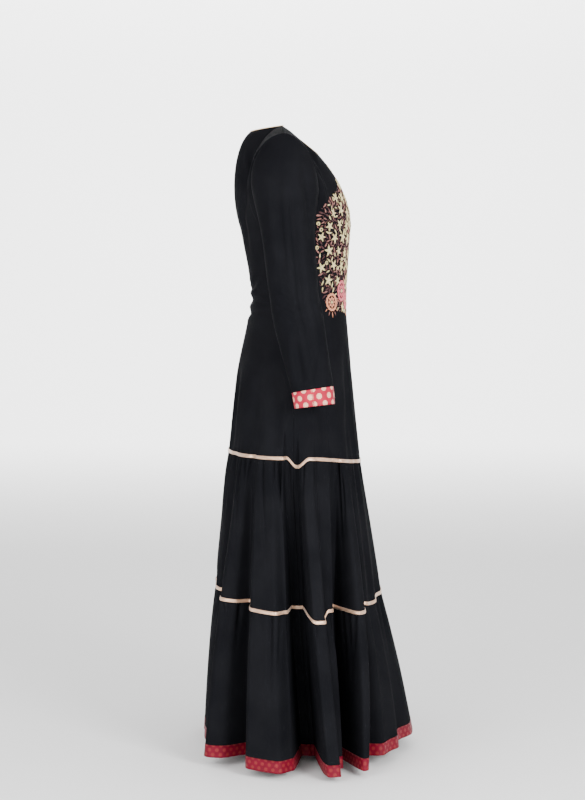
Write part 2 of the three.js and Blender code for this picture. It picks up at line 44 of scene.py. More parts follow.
# ---- camera ----
camera = bpy.data.objects.new("camera", bpy.data.cameras.new("camera"))
bpy.context.scene.collection.objects.link(camera)
camera.location = (-5.0, -0.034, -0.30)
looking = Vector((0, -0.034, -0.636)) - camera.location
camera.rotation_euler = looking.to_track_quat("-Z", "Y").to_euler()
camera.data.sensor_fit = "VERTICAL"
camera.data.sensor_height = 36
camera.data.lens = 96.5
bpy.context.scene.camera = camera

# ---- the forms of the garment, as in the solids ----
UNDERARM, UPPER_SEAM, LOWER_SEAM, BORDER_SEAM, HEM = -240, -765, -1081, -1398, -1425
UPPER_MIDDLE, LOWER_MIDDLE = (UPPER_SEAM + LOWER_SEAM) / 2, (LOWER_SEAM + HEM) / 2
NECK = {"half": 76, "side": -10, "sideZ": -4, "front": (-95, -68), "back": (65, -15)}
SHOULDER = {"half": 200, "y": -16, "z": -28}
NECK_STEPS, SHOULDER_STEPS = 7, 9
QUARTER_STEPS = NECK_STEPS + SHOULDER_STEPS
PRINCESS_STEP = 10
SAG_RISE = 90  # how far above the upper seam the cloth begins to sag
BODY_MIDDLE_Y = -40

# z, front, back, side, half
SECTIONS = np.array([
    (-240, -167, 85, -30, 170), (-280, -164, 78, -36, 165), (-332, -161, 68, -42, 158),
    (-402, -157, 61, -46, 158), (-470, -162, 74, -42, 172), (-560, -170, 93, -38, 192),
    (-650, -178, 103, -36, 210), (-765, -192, 115, -36, 228), (-824, -201, 124, -36, 246),
    (-929, -218, 133, -40, 276), (-1034, -234, 143, -45, 302), (-1081, -241, 146, -47, 314),
    (-1175, -264, 157, -53, 330), (-1280, -288, 166, -60, 344), (-1425, -316, 175, -70, 358),
], float)
# z, and the lift of the cloth at the front, the sides and the back
LIFTS = np.array([
    (-600, 0, 0, 0), (-765, -10, 13, 14), (-1081, 0, -4, 22), (-1425, 16, -3, 10),
], float)
# where it lies at the two seams and the hem, the level it starts from, its depth at the two
# seams and the hem, wide, flat; a negative depth comes out
FOLDS = np.array([
    (12, 18, 24, -790, 0, 8, 22, 8, 0), (24, 30, 40, -640, 6, 8, 10, 8, 0),
    (34, 42, 56, -690, 4, 26, 52, 7, 0.2), (40, 48, 62, -720, 0, -38, -48, 8, 0.4),
    (52, 63, 70, -740, 6, 66, 116, 8, 0.5), (78, 77, 77, -700, -6, -46, -54, 8, 0.5),
    (92, 91, 90, -700, 18, 74, 144, 8, 0.75), (114, 111, 112, -740, -4, -34, -42, 15, 0.5),
    (126, 127, 129, -720, 6, 34, 58, 7, 0.2), (138, 142, 143, -720, -2, -34, -54, 10, 0),
    (151, 152, 154, -720, 3, 28, 52, 7, 0.2), (163, 163, 164, -740, 0, -4, -2, 8, 0),
    (177, 176, 175, -900, 0, 6, 14, 7, 0), (197, 196, 195, -720, 3, 22, 42, 8, 0),
    (210, 208, 207, -720, -2, -24, -34, 9, 0), (224, 221, 220, -720, 5, 42, 74, 8, 0.2),
    (240, 239, 238, -720, -4, -34, -46, 11, 0), (257, 256, 254, -720, 5, 46, 88, 8, 0.3),
    (273, 273, 272, -700, 14, 58, 112, 9, 0.3), (286, 286, 286, -720, -6, -44, -52, 10, 0),
    (303, 300, 297, -720, 4, 48, 84, 8, 0.3), (315, 311, 308, -720, 0, -28, -38, 8, 0),
    (326, 323, 320, -720, 4, 24, 46, 8, 0.2), (345, 342, 339, -640, 6, 8, 20, 8, 0),
], float)
# level, and the share of a fold's width
FOLD_WIDTHS = np.array([(-640, 0.85), (-765, 0.9), (-1081, 0.95), (-1425, 1)], float)
# at, wide, flat, and how much lower the cloth hangs at the two seams and the hem
SAGS = np.array([
    (22, 13, 0, 0, 9, 0), (42, 11, 0, 0, 8, 2), (76, 11, 0.4, 0, 16, 4), (87, 10, 0, 20, 0, 0),
    (278, 10, 0, 12, 0, 0), (286, 10, 0.4, 0, 12, 4), (314, 11, 0, 0, 8, 2),
], float)
# step, and x, y, z of the handles down from the top edge and up to the underarm level
FRONT_DRAPE = np.array([
    (0, 0, -33, -40, 0, -9, 60), (7, 6, -46, -20, -4, -8, 70),
    (12, 0, -62, -14, -2, -50, 60), (16, -8, -68, -3, -4, -110, 25),
], float)
BACK_DRAPE = np.array([
    (0, 0, 37, -30, 0, 27, 70), (7, 6, 62, -14, -2, 40, 74),
    (12, 0, 76, -10, -2, 84, 58), (16, -6, 88, -4, -4, 130, 30),
], float)
BODICE_ROWS = [0, 0.14, 0.3, 0.46, 0.62, 0.8, 1]
# z, x, y, deep, wide of the left sleeve; its last two rows are the cuff
SLEEVE = np.array([
    (-290, 240, -28, 56.5, 53), (-345, 243, -33, 55.5, 52), (-392, 246, -38, 53.5, 51),
    (-430, 249, -45, 55.5, 50), (-482, 253, -55, 53, 48), (-535, 258, -66, 49.5, 45),
    (-593, 264, -78, 46, 42), (-632, 267, -83, 44, 40),
], float)
# turn, x, y, z of the way out of the armhole, and the reach back from the upper arm
SLEEVE_HEAD = np.array([
    (0, 52, 0, -30, 62), (90, 34, 0, -24, 44), (180, 17, 0, -7, 22),
    (270, 34, 0, -24, 44), (360, 52, 0, -30, 62),
], float)


def read(table, value, column):
    """A column of a table at values of its first column, on a smooth curve."""
    keys, ys, last = table[:, 0], table[:, column], len(table) - 1
    sign = 1 if keys[1] > keys[0] else -1
    after = np.searchsorted(sign * keys, sign * np.asarray(value, float), side="right")
    i = np.clip(after - 1, 0, last - 1)
    t = np.clip((value - keys[i]) / (keys[i + 1] - keys[i]), 0, 1)

    def slope(j):
        p, q = np.maximum(j - 1, 0), np.minimum(j + 1, last)
        return (ys[q] - ys[p]) / (keys[q] - keys[p]) * (keys[i + 1] - keys[i])

    return ((2 * t**3 - 3 * t**2 + 1) * ys[i] + (t**3 - 2 * t**2 + t) * slope(i)
            + (3 * t**2 - 2 * t**3) * ys[i + 1] + (t**3 - t**2) * slope(i + 1))


def between_seams(z, upper, lower, hem):
    """A level's value between those at the upper seam, the lower seam and the hem."""
    return np.interp(z, (HEM, LOWER_SEAM, UPPER_SEAM), (hem, lower, upper))


def fold_depth(fold, z):
    """How far a fold goes in at a level."""
    levels = [(fold[3], 0.0)]
    levels += [(k, d) for k, d in zip((UPPER_SEAM, LOWER_SEAM, HEM), fold[4:7]) if k < fold[3]]
    keys, depths = zip(*levels[::-1])
    return np.interp(z, keys, depths)


def fold_share(near, flat):
    """How much of a fold reaches a place that is near widths from its middle."""
    return np.cos(np.clip((near - flat) / (1 - flat), 0, 1) * math.pi / 2) ** 2


def turns_apart(a, b):
    """Degrees between two directions."""
    return np.minimum(np.abs(a - b), 360 - np.abs(a - b))


def fold_drift(turn, z):
    """How far the folds have turned a column of the cloth, in degrees."""
    ring = np.r_[FOLDS[:, 0], FOLDS[0, 0] + 360]
    lower, hem = (np.r_[d, d[0]] for d in (FOLDS[:, 1] - FOLDS[:, 0], FOLDS[:, 2] - FOLDS[:, 0]))
    here = np.where(turn < ring[0], turn + 360, turn)
    to_lower = np.clip((UPPER_SEAM - z) / (UPPER_SEAM - LOWER_SEAM), 0, 1)
    to_hem = np.clip((LOWER_SEAM - z) / (LOWER_SEAM - HEM), 0, 1)
    at_lower, at_hem = np.interp(here, ring, lower), np.interp(here, ring, hem)
    return to_lower * at_lower + to_hem * (at_hem - at_lower)


def body_point(at, z):
    """Points of the cloth below the underarms. at: degrees round from the front centre."""
    at, z = np.broadcast_arrays(np.asarray(at, float), np.asarray(z, float))
    turn = at % 360
    angle = np.radians(turn + fold_drift(turn, z))
    front, back, side, half = (read(SECTIONS, z, k) for k in (1, 2, 3, 4))
    cos, sin = np.cos(angle), np.sin(angle)
    deep = np.where(cos > 0, side - front, back - side)
    end = np.where(cos > 0, read(LIFTS, z, 1), read(LIFTS, z, 3))
    height = z + read(LIFTS, z, 2) * (1 - cos**2) + end * cos**2
    fade = np.clip((UPPER_SEAM + SAG_RISE - z) / SAG_RISE, 0, 1)
    for middle, wide, flat, *sags in SAGS:
        share = fold_share(turns_apart(turn, middle) / wide, flat)
        height = height - fade * between_seams(z, *sags) * share
    point = np.stack([-half * sin, side - deep * cos, height], -1)
    inward = unit(np.stack([-point[..., 0], side - point[..., 1], 0 * z], -1))
    width = np.interp(z, FOLD_WIDTHS[::-1, 0], FOLD_WIDTHS[::-1, 1])
    dip = np.zeros(at.shape)
    for fold in FOLDS:
        near = turns_apart(turn, fold[0]) / (fold[7] * width)
        dip += fold_depth(fold, z) * fold_share(near, fold[8])
    return point + inward * dip[..., None]


def even_columns(half, shares, z):
    """Angles at equal lengths of cloth in each quarter of a half ring; shares from -1 to 1."""
    start = -90 if half == "front" else 90
    result = np.zeros(len(shares))
    for quarter in (0, 1):
        angles = np.linspace(start + 90 * quarter, start + 90 * quarter + 90, 361)
        steps = np.linalg.norm(np.diff(body_point(angles, z), axis=0), axis=1)
        run = np.r_[0, np.cumsum(steps)] / steps.sum() - 1 + quarter
        here = shares >= 0 if quarter else shares < 0
        result[here] = np.interp(shares[here], run, angles)
    return result


def top_edge(step, half):
    """Points of the neckline and the shoulder seam; step is negative on the wearer's left."""
    away, sign = np.abs(step), -np.sign(step)
    y, z = NECK[half]
    angle = np.minimum(away / NECK_STEPS, 1) * math.pi / 2
    t = np.clip((away - NECK_STEPS) / SHOULDER_STEPS, 0, 1)
    neck = np.stack([
        NECK["half"] * np.sin(angle),
        NECK["side"] + (y - NECK["side"]) * np.cos(angle),
        NECK["sideZ"] + (z - NECK["sideZ"]) * np.cos(angle),
    ], -1)
    shoulder = np.stack([
        NECK["half"] + (SHOULDER["half"] - NECK["half"]) * t,
        NECK["side"] + (SHOULDER["y"] - NECK["side"]) * t,
        NECK["sideZ"] + (SHOULDER["z"] - NECK["sideZ"]) * t**1.3,
    ], -1)
    point = np.where((away <= NECK_STEPS)[..., None], neck, shoulder)
    point[..., 0] *= sign
    return point


def unit(v):
    return v / np.linalg.norm(v, axis=-1, keepdims=True)


def run_along(points):
    """How far along a line of points each one is."""
    return np.r_[0, np.cumsum(np.linalg.norm(np.diff(points, axis=0), axis=1))]


def bezier(a, b, c, d, t):
    """A cubic curve from a to d with the handles b and c."""
    return a * (1 - t)**3 + 3 * b * t * (1 - t)**2 + 3 * c * t**2 * (1 - t) + d * t**3


def bodice_point(half, step, t):
    """Points between the top edge (t = 0) and the underarm level (t = 1)."""
    step, t = np.broadcast_arrays(np.asarray(step, float), np.asarray(t, float))
    drape = FRONT_DRAPE if half == "front" else BACK_DRAPE
    flip = -np.sign(step)[..., None] * [1, 0, 0] + [0, 1, 1]
    down = np.stack([read(drape, np.abs(step), k) for k in (1, 2, 3)], -1) * flip
    up = np.stack([read(drape, np.abs(step), k) for k in (4, 5, 6)], -1) * flip
    shares = (step if half == "front" else -step) / QUARTER_STEPS
    columns = even_columns(half, shares.ravel(), UPPER_MIDDLE).reshape(step.shape)
    top, low = top_edge(step, half), body_point(columns, UNDERARM)
    return bezier(top, top + down, low + up, low, t[..., None])


def smooth_rows(grid, times):
    """Evens out the bends from row to row; the end rows stay."""
    for _ in range(times):
        middle = (grid[:-2] + 2 * grid[1:-1] + grid[2:]) / 4
        grid = np.concatenate([grid[:1], middle, grid[-1:]])
    return grid


# ---- creases and gathers ----
def normals_of(grid, closed):
    """Unit normals of a grid of points, whose rows run round the garment."""
    if closed:
        along = np.roll(grid, -1, 1) - np.roll(grid, 1, 1)
    else:
        along = np.gradient(grid, axis=1)
    normal = np.cross(along, np.gradient(grid, axis=0))
    return normal / np.maximum(np.linalg.norm(normal, axis=-1, keepdims=True), 1e-9)


def outward_normals(grid, outward, closed=False):
    """Normals on the side that a field of vectors points to, and whether they were turned."""
    normal = normals_of(grid, closed)
    turned_round = bool((normal * outward).sum() < 0)
    return (-normal if turned_round else normal), turned_round


def away_from_axis(grid):
    """Level vectors out of the middle of the body."""
    out = grid - np.array([0, BODY_MIDDLE_Y, 0])
    out[..., 2] = 0
    return out


def away_from_centre(grid):
    """Vectors out of the middle of each ring of a sleeve."""
    return grid - grid.mean(1, keepdims=True)


# the axis that runs across a view, the side that it is seen from, and the axis it looks along
VIEWS = {"right": (1, -1, 0), "left": (1, 1, 0), "front": (0, -1, 1), "back": (0, 1, 1)}
FACING_FROM, FACING_FADE = 0.05, 0.3  # a crease fades out where the cloth turns from the view
SIDE_FADE = 20                        # and near the middle plane of the garment
RIDGE, RIDGE_AT, RIDGE_WIDE = 0.35, 1.9, 0.8


def crease(grid, normals, view, path, deep, wide):
    """A soft trough between two low ridges along a path that is laid down in a view.
    path: points (y, z) in the side views and (x, z) in the others. A negative depth
    makes a ridge. Returns how far each point goes in."""
    across, sign, along = VIEWS[view]
    h, z = grid[..., across], grid[..., 2]
    facing = np.clip((sign * normals[..., along] - FACING_FROM) / FACING_FADE, 0, 1)
    side = np.clip(sign * grid[..., along] / SIDE_FADE + 2 * along, 0, 1)
    path = np.array(path, float)
    best, share = np.full(h.shape, 1e9), np.zeros(h.shape)
    lengths = np.linalg.norm(np.diff(path, axis=0), axis=1)
    run = np.r_[0, np.cumsum(lengths)] / lengths.sum()
    for k in range(len(path) - 1):
        a, d = path[k], path[k + 1] - path[k]
        t = np.clip(((h - a[0]) * d[0] + (z - a[1]) * d[1]) / (d @ d), 0, 1)
        far = np.hypot(h - a[0] - t * d[0], z - a[1] - t * d[1])
        nearer = far < best
        best = np.where(nearer, far, best)
        share = np.where(nearer, run[k] + t * (run[k + 1] - run[k]), share)
    x = best / wide
    taper = np.sin(math.pi * np.clip(share * 0.96 + 0.02, 0, 1)) ** 0.7
    profile = np.exp(-x**2) - RIDGE * np.exp(-((x - RIDGE_AT) / RIDGE_WIDE)**2)
    return deep * taper * profile * facing * side


def creases_in(grid, normals, table, factor):
    """How far the creases of a table take each point in."""
    depth = np.zeros(grid.shape[:2])
    for view, rows in table.items():
        for path, deep, wide in rows:
            depth += crease(grid, normals, view, path, factor * deep, wide)
    return depth


def gather_dips(place, drop, count, seed, depth, reach, spread=0.3):
    """How deep the small gathers under a seam go. place: from 0 to count along the seam."""
    rng = np.random.default_rng(seed)
    total = np.zeros(np.broadcast(place, drop).shape)
    for i in range(count):
        middle = i + 0.5 + rng.uniform(-0.2, 0.2)
        deep = depth * (1 + 0.35 * (math.sin((i + 1) * 2.4) - math.cos((i + 1) * 0.9)))
        length = rng.uniform(*reach)
        lean = rng.uniform(-0.4, 0.4)
        width = rng.uniform(0.8, 1.25) * spread
        x = (place - middle - lean * drop / length) / width
        total += deep * np.exp(-x**2) * np.exp(-(drop / length)**1.6)
    return total * (1 - np.exp(-drop / 4))


# ---- meshes ----
def grid_faces(rows, columns, closed, start=0, flip=False):
    """Quads of a grid of points; closed joins its last column to the first."""
    last = columns if closed else columns - 1
    r, c = np.meshgrid(np.arange(rows - 1), np.arange(last), indexing="ij")
    n = (c + 1) % columns
    high, low = r * columns, (r + 1) * columns
    quad = np.stack([high + c, low + c, low + n, high + n], -1).reshape(-1, 4) + start
    return quad[:, ::-1] if flip else quad


def make_mesh(name, points, faces, flat_from=None, uv=None):
    """points in millimetres. Faces from flat_from on are shaded flat."""
    mesh = bpy.data.meshes.new(name)
    mesh.from_pydata((points * MM).tolist(), [], faces.tolist())
    smooth = np.ones(len(mesh.polygons), bool)
    if flat_from is not None:
        smooth[flat_from:] = False
    mesh.polygons.foreach_set("use_smooth", smooth)
    if uv is not None:
        layer = mesh.uv_layers.new(name="UVMap")
        loops = np.zeros(len(mesh.loops), np.int32)
        mesh.loops.foreach_get("vertex_index", loops)
        layer.data.foreach_set("uv", (uv[loops] * MM).ravel())
    mesh.validate()
    obj = bpy.data.objects.new(name, mesh)
    bpy.context.scene.collection.objects.link(obj)
    return obj


def shell(name, grid, uv, thick, outward, closed=False):
    """A closed thin shell round a grid of points: outer and inner skins and their rims."""
    normal, flip = outward_normals(grid, outward, closed)
    rows, columns = grid.shape[:2]
    count = rows * columns
    outer = (grid + normal * thick / 2).reshape(-1, 3)
    inner = (grid - normal * thick / 2).reshape(-1, 3)
    skins = (0, not flip), (count, flip)
    faces = [grid_faces(rows, columns, closed, start, back) for start, back in skins]
    top, bottom = np.arange(columns), np.arange(columns) + (rows - 1) * columns
    strips = [(top, False), (bottom, True)]
    if closed:
        strips = [(np.r_[top, top[0]], False), (np.r_[bottom, bottom[0]], True)]
    else:
        left = np.arange(rows) * columns
        strips += [(left, True), (left + columns - 1, False)]
    for ids, back in strips:
        rim = np.stack([ids[:-1], ids[1:], ids[1:] + count, ids[:-1] + count], -1)
        faces.append(rim if back == flip else rim[:, ::-1])
    flat_from = len(faces[0]) + len(faces[1])
    both = np.concatenate([uv.reshape(-1, 2)] * 2)
    return make_mesh(name, np.concatenate([outer, inner]), np.concatenate(faces), flat_from, both)


def dress(obj, node, material):
    """Gives a piece its material, hangs it under the root body, and hides the solid that it
    replaces, if there is one.
    """
    obj.data.materials.append(material)
    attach(obj, "root")
    if node:
        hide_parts(node)


def arc_uv(grid):
    """Lengths of cloth along the middle row and down the middle column, in millimetres."""
    rows, columns = grid.shape[:2]
    u, v = run_along(grid[rows // 2]), -run_along(grid[:, columns // 2])
    return np.stack(np.broadcast_arrays(u[None, :], v[:, None]), -1)


def cloth_piece(node, grid, thick, away, material, closed=False, uv=None):
    """A shell that replaces a solid. away: the function for the ways out of the cloth."""
    uv = arc_uv(grid) if uv is None else uv
    dress(shell("cloth_" + node, grid, uv, thick, away(grid), closed), node, material)


# ---- materials ----
class Graph:
    """A material and short ways to add nodes to it."""

    def __init__(self, name, **values):
        self.material = bpy.data.materials.new(name)
        self.material.use_nodes = True
        self.tree = self.material.node_tree
        self.tree.nodes.clear()
        out = self.tree.nodes.new("ShaderNodeOutputMaterial")
        self.shader = self.tree.nodes.new("ShaderNodeBsdfPrincipled")
        self.tree.links.new(self.shader.outputs[0], out.inputs[0])
        for key, value in values.items():
            self.feed(self.shader.inputs[key.replace("_", " ")], value)

    def feed(self, socket, value):
        if isinstance(value, bpy.types.NodeSocket):
            self.tree.links.new(value, socket)
        else:
            socket.default_value = value

    def add(self, kind, inputs=None, output=0, **settings):
        node = self.tree.nodes.new(kind)
        for key, value in settings.items():
            setattr(node, key, value)
        for key, value in (inputs or {}).items():
            self.feed(node.inputs[key], value)
        return node.outputs[output]

    def math(self, operation, *values):
        return self.add("ShaderNodeMath", dict(enumerate(values)), operation=operation)

    def times(self, a, b):
        return self.math("MULTIPLY", a, b)

    def uv(self):
        """The two coordinates along the cloth, in metres."""
        place = self.add("ShaderNodeSeparateXYZ", {0: self.add("ShaderNodeTexCoord", output="UV")})
        return place, place.node.outputs[1]

    def wave(self, value, length):
        return self.math("SINE", self.times(value, 2 * math.pi / length))

    def noise(self, scale, detail=2.0, rough=0.5, vector=None):
        place = vector or self.add("ShaderNodeTexCoord", output="Object")
        inputs = {"Vector": place, "Scale": scale, "Detail": detail, "Roughness": rough}
        return self.add("ShaderNodeTexNoise", inputs)

    def between(self, value, low, high, to_low=0.0, to_high=1.0):
        return self.add("ShaderNodeMapRange", {
            "Value": value, "From Min": low, "From Max": high, "To Min": to_low, "To Max": to_high,
        }, interpolation_type="SMOOTHSTEP")

    def mix(self, share, a, b):
        """Two colours; the numbers are the sockets that the node has for colours."""
        node = self.tree.nodes.new("ShaderNodeMix")
        node.data_type = "RGBA"
        self.feed(node.inputs[0], share)
        self.feed(node.inputs[6], a)
        self.feed(node.inputs[7], b)
        return node.outputs[2]

    def bump(self, height, strength, distance, normal=None):
        inputs = {"Height": height, "Strength": strength, "Distance": distance}
        if normal is not None:
            inputs["Normal"] = normal
        return self.add("ShaderNodeBump", inputs)

    def finish(self, **links):
        for key, value in links.items():
            self.feed(self.shader.inputs[key.replace("_", " ")], value)
        return self.material


def rgb(*levels):
    """A colour of the picture as the shader's linear values."""
    shares = [level / 255 for level in levels]
    linear = [c / 12.92 if c <= 0.04045 else ((c + 0.055) / 1.055) ** 2.4 for c in shares]
    return (*linear, 1.0)


def darker(colour, share):
    return tuple(c * share for c in colour[:3]) + (1,)


def crepe():
    g = Graph("crepe", Specular_IOR_Level=0.01)
    dark, light = (0.0051, 0.0053, 0.0066, 1), (0.0073, 0.0075, 0.0090, 1)
    grain = g.noise(1400, 3, 0.6)
    slub = g.noise(260, 2)
    cloudy = g.noise(9, 2)
    colour = g.mix(g.between(cloudy, 0.3, 0.7), dark, light)
    rough = g.between(slub, 0.2, 0.8, 0.72, 0.86)
    normal = g.bump(grain, 0.35, 0.0004, g.bump(slub, 0.2, 0.0006))
    return g.finish(Base_Color=colour, Roughness=rough, Normal=normal)


def brocade(name, wide, tall, radius, red, gold, contrast):
    """Satin ground with rows of small discs, every other row moved by half. Sizes in metres."""
    g = Graph(name, Specular_IOR_Level=0.12)
    u, v = g.uv()
    row = g.math("ROUND", g.math("DIVIDE", v, tall))
    half_step = g.times(g.math("FLOORED_MODULO", row, 2.0), 0.5)
    moved = g.math("ADD", g.math("DIVIDE", u, wide), half_step)
    x = g.times(g.math("SUBTRACT", moved, g.math("ROUND", moved)), wide)
    y = g.math("SUBTRACT", v, g.times(row, tall))
    far = g.math("SQRT", g.math("ADD", g.times(x, x), g.times(y, y)))
    turn = g.math("ARCTAN2", y, x)
    petals = g.times(g.math("COSINE", g.times(turn, 8.0)), radius * 0.05)
    scalloped = g.math("ADD", far, petals)
    disc = g.between(scalloped, radius, radius * 0.9)
    from_ring = g.math("ABSOLUTE", g.math("SUBTRACT", far, radius * 0.66))
    from_heart = g.math("ABSOLUTE", g.math("SUBTRACT", scalloped, radius * 0.3))
    ring = g.between(from_ring, radius * 0.12, radius * 0.05)
    heart = g.between(from_heart, radius * 0.1, radius * 0.03)
    lines = g.math("MAXIMUM", ring, heart)
    share = g.times(disc, g.math("SUBTRACT", 1.0, g.times(lines, 0.75)))
    weave = g.times(g.wave(v, 0.0007), g.wave(u, 0.0009))
    ground = g.mix(g.between(g.noise(60, 3), 0.25, 0.75), darker(red, 0.72), red)
    metal = g.mix(g.between(g.noise(400, 2), 0.2, 0.8), darker(gold, 0.8), gold)
    colour = g.mix(g.times(share, contrast), ground, metal)
    height = g.math("ADD", g.times(share, 0.6), g.times(weave, 0.12))
    rough = g.between(share, 0, 1, 0.5, 0.36)
    return g.finish(Base_Color=colour, Normal=g.bump(height, 0.5, 0.0005), Roughness=rough)


def satin(name, light, dark):
    g = Graph(name, Metallic=0.35, Specular_IOR_Level=0.6, Sheen_Weight=0.2, Roughness=0.36)
    u, v = g.uv()
    stretched = {0: g.times(u, 60.0), 1: g.times(v, 900.0)}
    sheen_streaks = g.noise(1.0, 2, 0.5, g.add("ShaderNodeCombineXYZ", stretched))
    twill = g.wave(g.math("ADD", u, g.times(v, 0.8)), 0.0008)
    # The lighter and darker streaks along the ribbon are painted sheen that stands in for the
    # satin's lengthwise reflections. The same streaks also raise a small bump.
    colour = g.mix(g.between(sheen_streaks, 0.3, 0.7), dark, light)
    height = g.math("ADD", sheen_streaks, g.times(twill, 0.08))
    return g.finish(Base_Color=colour, Normal=g.bump(height, 0.4, 0.0004))


def thread(name, light, dark):
    """Satin stitches, whose threads lie across the leaf or petal."""
    g = Graph(name, Specular_IOR_Level=0.4, Roughness=0.42)
    u, v = g.uv()
    slant = g.math("ADD", u, g.times(g.math("ABSOLUTE", v), 0.7))
    colour = g.mix(g.between(g.noise(500, 2), 0.3, 0.7), dark, light)
    return g.finish(Base_Color=colour, Normal=g.bump(g.wave(slant, 0.0007), 0.5, 0.0003))


CREPE = crepe()
HEM_RED, HEM_GOLD = (0.14, 0.002, 0.014, 1), (0.3, 0.05, 0.035, 1)
CUFF_RED, CUFF_GOLD = (0.42, 0.012, 0.04, 1), (1.0, 0.62, 0.42, 1)
CUFF_BROCADE = brocade("brocade_cuff", 0.025, 0.016, 0.0062, CUFF_RED, CUFF_GOLD, 1.0)
HEM_BROCADE = brocade("brocade_hem", 0.017, 0.0105, 0.0042, HEM_RED, HEM_GOLD, 0.5)
# Each satin's lighter and darker tones are mixed into painted sheen streaks along the band.
SATIN = satin("satin_champagne", rgb(214, 178, 148), rgb(168, 126, 98))
NECK_SATIN = satin("satin_gold", rgb(226, 196, 140), rgb(186, 148, 96))

# ---- the upper piece ----
CLOTH, BROCADE = 1.2, 1.8  # thickness of the shells
FINE = 5                   # columns to a grid step of the upper piece
EDGE, GROOVE = 0.16, 0.8   # grid steps from a seam to the first column beside it; its depth
BODICE_LEVELS, BODY_LEVELS = 54, 104
UPPER_CREASE, SLEEVE_CREASE = 1.8, 3.2  # factors on the depths of the crease tables


def with_edges(steps, seams):
    """Adds columns close beside the seams."""
    extra = [seam + side * EDGE for seam in seams for side in (-1, 1)]
    inside = [s for s in extra if steps[0] < s < steps[-1]]
    return np.unique(np.round(np.r_[steps, inside], 6))


# path, depth and width of the main creases by view; the hidden sides have similar ones
CREASES_UPPER = {
    "right": [
        ([(57, -51), (60, -80), (57, -114)], 3.6, 6),
        ([(-61, -33), (-80, -100), (-96, -178)], 2.8, 7), ([(-63, -133), (-80, -178)], 1.8, 5),
        ([(-76, -118), (-94, -158)], 1.6, 5), ([(62, -366), (44, -384), (20, -390)], 1.2, 6),
        ([(58, -394), (40, -404), (16, -409)], 1.1, 5),
        ([(64, -432), (46, -424), (24, -428)], 0.9, 6),
        ([(-105, -433), (-110, -498), (-119, -545)], 1.6, 8),
        ([(-157, -653), (-166, -712), (-173, -764)], 2.8, 11),
        ([(-92, -560), (-104, -660), (-112, -758)], 3.0, 13),
        ([(36, -520), (52, -640), (66, -757)], 3.2, 14),
        ([(-8, -590), (2, -680), (8, -760)], 2.4, 11),
    ],
    "left": [
        ([(58, -48), (62, -84), (58, -120)], 3.2, 6),
        ([(-60, -36), (-76, -104), (-92, -170)], 3.0, 7), ([(-70, -126), (-88, -170)], 1.8, 5),
        ([(60, -372), (42, -388), (18, -393)], 2.2, 6),
        ([(60, -404), (38, -412), (14, -414)], 1.9, 5),
        ([(-108, -440), (-113, -500), (-120, -552)], 1.5, 8),
        ([(-150, -640), (-162, -706), (-170, -764)], 2.6, 12),
        ([(-84, -570), (-98, -668), (-108, -758)], 3.2, 13),
        ([(30, -540), (46, -650), (58, -757)], 3.0, 13),
    ],
    "back": [
        ([(-96, -352), (-40, -372), (8, -368)], 2.6, 7),
        ([(88, -362), (36, -384), (-14, -380)], 2.4, 7),
        ([(-84, -396), (-30, -404), (40, -398)], 2.4, 8),
        ([(-60, -424), (0, -434), (66, -426)], 1.8, 8),
        ([(-120, -150), (-84, -210), (-66, -290)], 2.6, 12),
        ([(118, -140), (86, -206), (70, -300)], 2.4, 12),
        ([(-58, -560), (-66, -660), (-78, -757)], 3.2, 15),
        ([(40, -540), (52, -650), (60, -757)], 3.0, 14),
        ([(118, -580), (136, -670), (152, -757)], 2.6, 13),
    ],
    "front": [
        ([(-150, -72), (-128, -128), (-118, -190)], 2.2, 9),
        ([(148, -76), (130, -130), (116, -200)], 2.4, 9),
        ([(-84, -520), (-96, -640), (-112, -762)], 3.0, 15),
        ([(70, -500), (84, -630), (96, -762)], 3.2, 15),
        ([(-14, -560), (-20, -660), (-24, -770)], 2.4, 14),
        ([(134, -590), (150, -680), (164, -760)], 2.4, 12),
    ],
}
CREASES_SLEEVE = {
    "right": [
        ([(-97, -396), (-100, -412), (-106, -432)], 3.0, 6),
        ([(2, -130), (-6, -230), (-20, -340)], 1.8, 10),
        ([(-60, -96), (-70, -170), (-74, -250)], 1.8, 9),
        ([(-28, -160), (-36, -250), (-53, -403), (-67, -458), (-81, -537)], 2.3, 8),
        ([(-50, -140), (-58, -250), (-76, -350)], -0.9, 8),
        ([(16, -372), (-24, -402), (-60, -416)], 0.8, 7),
        ([(8, -404), (-34, -432), (-84, -446)], 0.8, 8),
        ([(-27, -460), (-33, -520), (-40, -582)], -1.1, 7),
        ([(-36, -486), (-48, -540), (-58, -588)], 1.8, 10),
        ([(-96, -500), (-92, -548), (-82, -590)], 1.6, 8),
    ],
    "left": [
        ([(-96, -402), (-102, -418), (-106, -440)], 2.8, 6),
        ([(-20, -150), (-28, -258), (-40, -360)], 2.4, 13),
        ([(12, -380), (-26, -410), (-70, -420)], 2.6, 8),
        ([(6, -414), (-38, -440), (-86, -452)], 2.4, 8),
        ([(-40, -480), (-52, -536), (-62, -586)], 1.9, 10),
    ],
}


def seams_of(half):
    princess = (-PRINCESS_STEP, PRINCESS_STEP) if half == "front" else ()
    return (-QUARTER_STEPS, QUARTER_STEPS) + princess


def upper_grid(half):
    """The steps of the columns and the points of half the upper piece."""
    steps = np.linspace(-QUARTER_STEPS, QUARTER_STEPS, 2 * QUARTER_STEPS * FINE + 1)
    steps = with_edges(steps, seams_of(half))
    ordered = steps if half == "front" else -steps
    columns = even_columns(half, steps / QUARTER_STEPS, UPPER_MIDDLE)
    bodice = bodice_point(half, ordered[None, :], np.linspace(0, 1, BODICE_LEVELS)[:, None])
    levels = np.linspace(UNDERARM, UPPER_SEAM, BODY_LEVELS)[1:]
    body = body_point(columns[None, :], levels[:, None])
    return steps, smooth_rows(np.concatenate([bodice, body]), 12)


def seam_groove(steps, seams):
    """How far the cloth goes in at the seams that run down it."""
    groove = np.zeros(len(steps))
    for seam in seams:
        groove = np.maximum(groove, GROOVE * np.exp(-((steps - seam) / (EDGE * 0.8))**2))
    return groove


